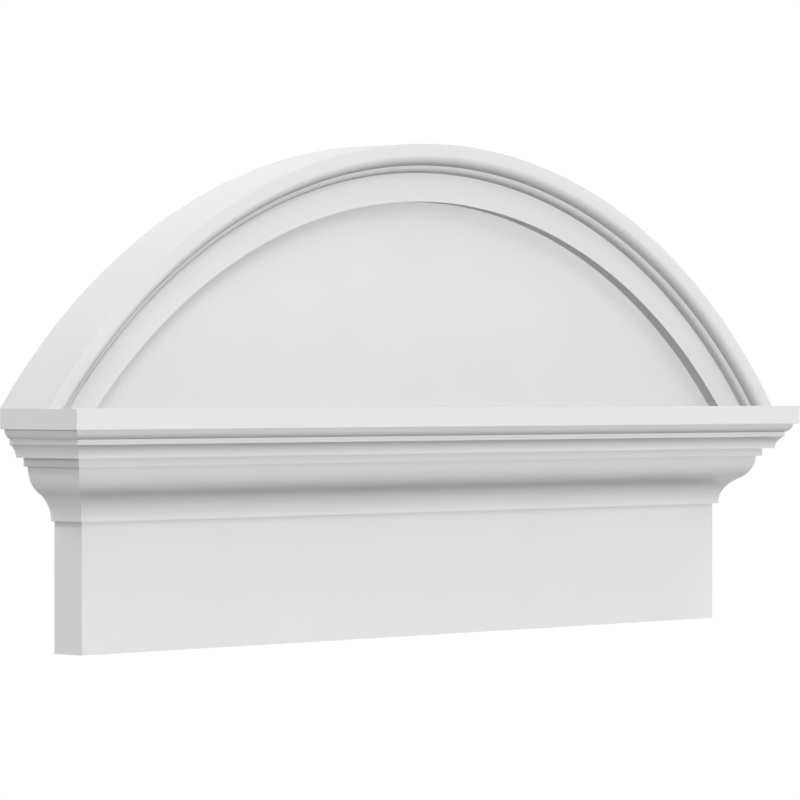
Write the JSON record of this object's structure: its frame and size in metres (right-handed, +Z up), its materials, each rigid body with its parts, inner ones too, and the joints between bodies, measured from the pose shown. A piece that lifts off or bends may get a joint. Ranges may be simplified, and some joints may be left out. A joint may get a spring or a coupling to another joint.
{
  "type": "segmental pediment",
  "caption": "White segmental pediment: a moulded arch with a flat recessed panel on a mitred cornice, over a flat frieze board, to fix on a wall above a door or window.",
  "frame": {"origin": "middle of the frieze board's back, on the wall's face", "axes": "+X along the wall to the right as seen from in front, +Y into the wall, +Z up; the pediment looks towards -Y"},
  "size_m": [0.6984, 0.0698, 0.327],
  "materials": {
    "white_pvc": "smooth satin white cellular PVC"
  },
  "bodies": {
    "root": {"frieze_board": "white_pvc", "cornice_front": "white_pvc", "cornice_return_left": "white_pvc", "cornice_return_right": "white_pvc", "arch_moulding": "white_pvc", "tympanum_panel": "white_pvc"}
  },
  "joints": []
}
